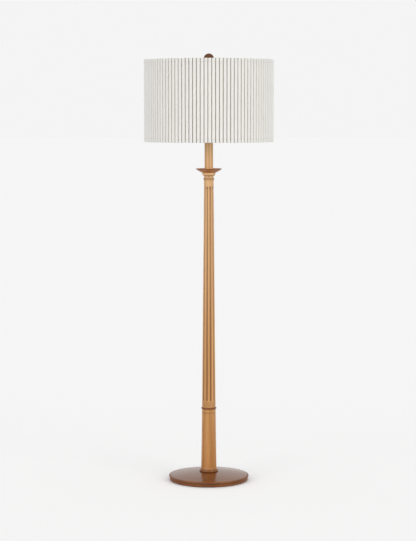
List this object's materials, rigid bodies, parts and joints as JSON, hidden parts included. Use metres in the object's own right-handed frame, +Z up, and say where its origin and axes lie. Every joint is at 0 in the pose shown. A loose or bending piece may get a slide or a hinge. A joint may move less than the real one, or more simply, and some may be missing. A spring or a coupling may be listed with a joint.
{
  "type": "floor lamp",
  "caption": "Floor lamp with a fluted turned wooden column on a round weighted base and a pleated drum shade on a harp.",
  "frame": {"origin": "centre of the base's underside, on the floor", "axes": "+Z up along the column; -Y is the front; the cord inlet is at the back, +Y"},
  "size_m": [0.4656, 0.4656, 1.5474],
  "materials": {
    "felt": "dark green-black felt",
    "base_wood": "satin lacquer, red-brown stain",
    "column_wood": "satin lacquer, honey brown",
    "finial_wood": "satin lacquer, dark brown",
    "cast_weight": "black dipped casting",
    "zinc_steel": "zinc plated",
    "brass": "satin lacquered brass",
    "brown_plastic": "moulded, dark brown",
    "black_plastic": "moulded phenolic, black",
    "sleeve_board": "pressed insulating board",
    "frosted_glass": "frosted white",
    "bulb_aluminium": "drawn aluminium",
    "white_wire": "white powder coat",
    "liner_plastic": "white sheet, matte",
    "shade_tape": "woven white tape",
    "pleated_fabric": "white pleated linen-look cloth"
  },
  "bodies": {
    "stand": {"felt_pad": "felt", "base_disc": "base_wood", "base_weight": "cast_weight", "weight_screws": "zinc_steel", "pipe_washer": "zinc_steel", "pipe_nut": "zinc_steel", "cord_bushing": "brown_plastic", "lower_column": "column_wood", "collar_ring": "column_wood", "fluted_shaft": "column_wood", "capital": "column_wood", "drip_dish": "column_wood", "neck_tube": "column_wood", "lamp_pipe": "zinc_steel", "check_ring": "brass", "harp_saddle": "brass", "socket_cap": "brass", "socket_shell": "brass", "socket_sleeve": "sleeve_board", "socket_core": "black_plastic", "screw_shell": "brass", "contact_tongue": "brass", "switch_bushing": "brass"},
    "knob": {"switch_spindle": "brass", "switch_knob": "black_plastic"},
    "bulb": {"bulb_glass": "frosted_glass", "bulb_cap": "bulb_aluminium", "bulb_contact": "brass"},
    "harp": {"harp_bow": "brass", "harp_collar": "brass"},
    "sleeve_left": {"harp_sleeve_left": "brass"},
    "sleeve_right": {"harp_sleeve_right": "brass"},
    "swivel": {"harp_stud": "brass"},
    "shade": {"spider_ring": "white_wire", "lower_ring": "white_wire", "shade_liner": "liner_plastic", "edge_tapes": "shade_tape", "pleated_cover": "pleated_fabric"},
    "finial": {"finial_ball": "finial_wood", "finial_insert": "brass"}
  },
  "joints": [
    {"name": "switch_knob_turn", "type": "hinge", "parent": "stand", "child": "knob", "pos_m": [0, -0.02, 1.288], "axis": [0, -1, 0], "continuous": true},
    {"name": "bulb_unscrew", "type": "hinge", "parent": "stand", "child": "bulb", "pos_m": [0, 0, 1.31], "axis": [0, 0, 1], "range_deg": [0, 1080]},
    {"name": "harp_lift", "type": "slide", "parent": "stand", "child": "harp", "axis": [0, 0, 1], "range_m": [0, 0.16]},
    {"name": "sleeve_left_lift", "type": "slide", "parent": "harp", "child": "sleeve_left", "axis": [0, 0, 1], "range_m": [0, 0.013]},
    {"name": "sleeve_right_lift", "type": "slide", "parent": "harp", "child": "sleeve_right", "axis": [0, 0, 1], "range_m": [0, 0.013]},
    {"name": "shade_swivel", "type": "hinge", "parent": "harp", "child": "swivel", "pos_m": [0, 0, 1.506], "axis": [0, 0, 1], "continuous": true},
    {"name": "shade_lift", "type": "slide", "parent": "swivel", "child": "shade", "axis": [0, 0, 1], "range_m": [0, 0.32]},
    {"name": "finial_unscrew", "type": "hinge", "parent": "shade", "child": "finial", "pos_m": [0, 0, 1.53], "axis": [0, 0, 1], "range_deg": [0, 2160]}
  ]
}
